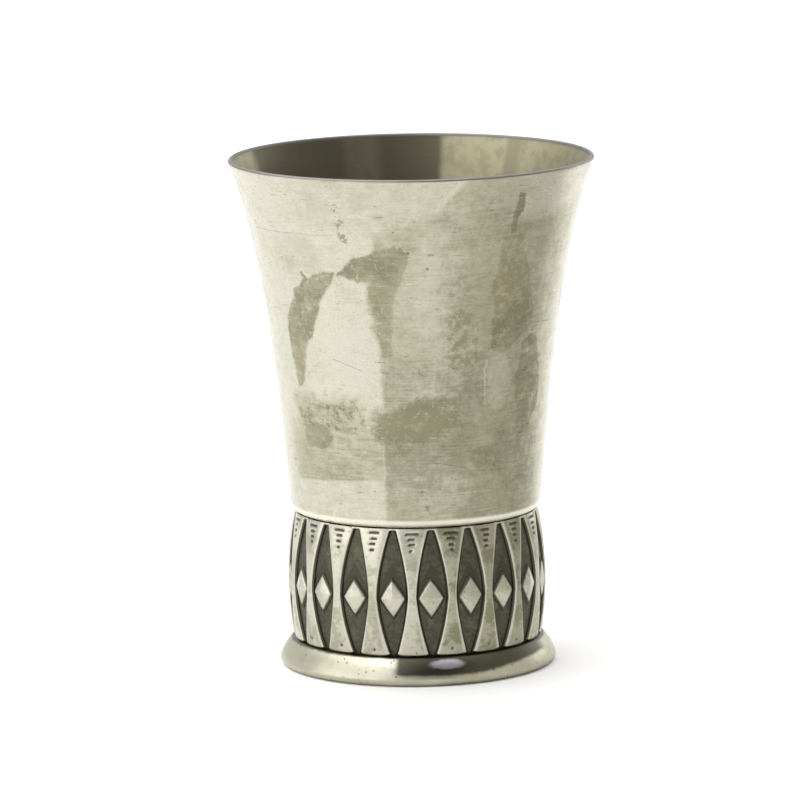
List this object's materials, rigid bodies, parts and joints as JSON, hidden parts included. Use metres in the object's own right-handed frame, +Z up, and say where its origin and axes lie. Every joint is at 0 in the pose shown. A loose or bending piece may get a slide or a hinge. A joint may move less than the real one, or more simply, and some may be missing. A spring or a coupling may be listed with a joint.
{
  "type": "communion chalice",
  "caption": "Stemless flared communion beaker: spun bowl on a drum wrapped by a pierced lozenge frieze with diamond studs, standing on a splayed foot ring.",
  "frame": {"origin": "centre of the foot ring's flat contact face, at the bottom of the cup", "axes": "+Z up along the cup's axis, -Y towards the side with the first lozenge"},
  "size_m": [0.0642, 0.0642, 0.09],
  "materials": {
    "spun_silver": "worn satin with patchy tarnish",
    "rubbed_relief": "rubbed bright on the high places",
    "oxidised_ground": "matt dark oxidised"
  },
  "bodies": {
    "root": {"bowl": "spun_silver", "drum": "oxidised_ground", "lozenge_frieze": "rubbed_relief", "diamond_stud_01": "rubbed_relief", "diamond_stud_02": "rubbed_relief", "diamond_stud_03": "rubbed_relief", "diamond_stud_04": "rubbed_relief", "diamond_stud_05": "rubbed_relief", "diamond_stud_06": "rubbed_relief", "diamond_stud_07": "rubbed_relief", "diamond_stud_08": "rubbed_relief", "diamond_stud_09": "rubbed_relief", "diamond_stud_10": "rubbed_relief", "diamond_stud_11": "rubbed_relief", "diamond_stud_12": "rubbed_relief", "diamond_stud_13": "rubbed_relief", "diamond_stud_14": "rubbed_relief", "diamond_stud_15": "rubbed_relief", "diamond_stud_16": "rubbed_relief", "diamond_stud_17": "rubbed_relief", "diamond_stud_18": "rubbed_relief", "diamond_stud_19": "rubbed_relief", "diamond_stud_20": "rubbed_relief", "foot_ring": "spun_silver", "base_plate": "spun_silver"}
  },
  "joints": []
}
